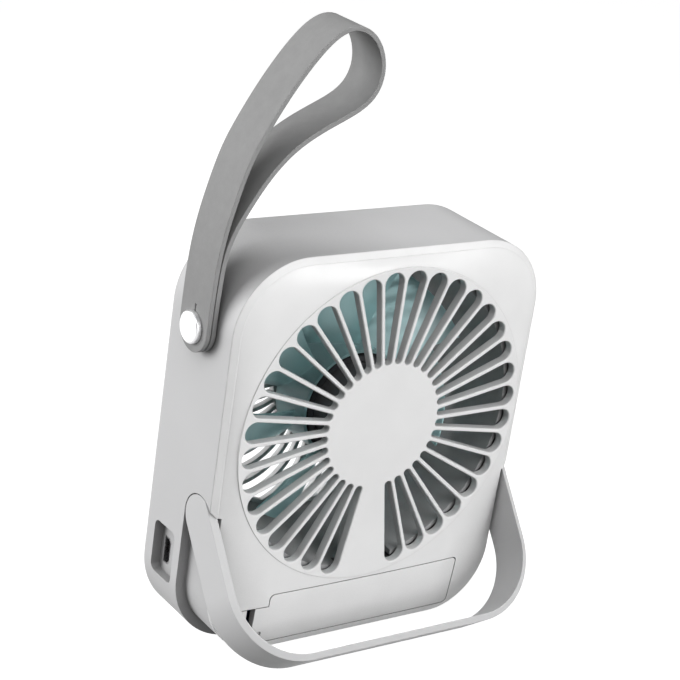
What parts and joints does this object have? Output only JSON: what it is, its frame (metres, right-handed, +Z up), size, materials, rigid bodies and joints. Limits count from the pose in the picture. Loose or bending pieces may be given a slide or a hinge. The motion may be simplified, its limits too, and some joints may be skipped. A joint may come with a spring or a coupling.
{
  "type": "portable box fan",
  "caption": "Rechargeable portable box fan with a slotted rear cover, fold-out U stand, battery door and a looped carry strap.",
  "frame": {"origin": "middle of the narrow facet along the rear of the underside, that the leaning fan stands on", "axes": "+Z up with the fan leaning 10 degrees back on its open stand, +X towards the charging port and strap side, the air outlet faces -Y and a little up, the slotted rear cover +Y and a little down"},
  "size_m": [0.1164, 0.0649, 0.1928],
  "materials": {
    "housing_grey": "fine satin",
    "cover_white": "semi gloss",
    "stand_grey": "satin",
    "strap_silicone": "matt silicone",
    "chrome": "polished",
    "blade_teal": "translucent satin",
    "black_plastic": "matt",
    "dark_plastic": "matt",
    "black_steel": "black coated",
    "steel": "zinc plated",
    "magnet": "bonded ferrite",
    "brass": "sintered bronze",
    "copper": "enamelled wire",
    "board_green": "solder mask",
    "cell_sleeve": "shrink sleeve",
    "wire_black": "insulation",
    "lens_clear": "clear"
  },
  "bodies": {
    "fan_body": {"housing": "housing_grey", "rear_cover": "cover_white", "front_grille": "cover_white", "battery_bay": "housing_grey", "battery_cell": "cell_sleeve", "battery_contact_plus": "steel", "battery_contact_minus": "steel", "battery_leads": "wire_black", "circuit_board": "board_green", "usb_socket": "steel", "usb_tongue": "black_plastic", "tact_switch": "black_plastic", "indicator_lens": "lens_clear", "indicator_led": "lens_clear", "board_screws": "steel", "bay_screws": "steel", "motor_mount": "dark_plastic", "motor_screws": "steel", "bearing_tube": "brass", "shaft_bearings": "brass", "stator_core": "steel", "stator_windings": "copper", "motor_board": "board_green", "motor_leads": "wire_black", "stand_spacers": "dark_plastic", "stand_spring_washers": "steel", "strap_washer": "dark_plastic", "rivet_cap": "chrome", "rivet_washer": "steel", "rivet_nut": "brass"},
    "impeller_body": {"impeller": "blade_teal", "rotor_cup": "black_steel", "magnet_ring": "magnet", "motor_shaft": "steel"},
    "stand_body": {"stand": "stand_grey", "stand_retainers": "steel", "stand_screws": "steel"},
    "strap_body": {"strap": "strap_silicone"},
    "door_body": {"battery_door": "cover_white"},
    "button_body": {"power_button": "cover_white", "switch_plunger": "dark_plastic"}
  },
  "joints": [
    {"name": "impeller_spin", "type": "hinge", "parent": "fan_body", "child": "impeller_body", "pos_m": [0, 0.01238, 0.07327], "axis": [0, 0.9841, -0.1777], "continuous": true},
    {"name": "stand_swing", "type": "hinge", "parent": "fan_body", "child": "stand_body", "pos_m": [0, 0.01698, 0.0453], "axis": [1, 0, 0], "range_deg": [-39, 2.5]},
    {"name": "strap_turn", "type": "hinge", "parent": "fan_body", "child": "strap_body", "pos_m": [0.0584, 0.01787, 0.10367], "axis": [1, 0, 0], "range_deg": [-100, 100]},
    {"name": "door_lift", "type": "slide", "parent": "fan_body", "child": "door_body", "axis": [0, 0.9841, -0.1777], "range_m": [0, 0.01]},
    {"name": "button_press", "type": "slide", "parent": "fan_body", "child": "button_body", "axis": [0, 0.9841, -0.1777], "range_m": [0, 0.0007], "stiffness_N_per_m": 2500}
  ]
}
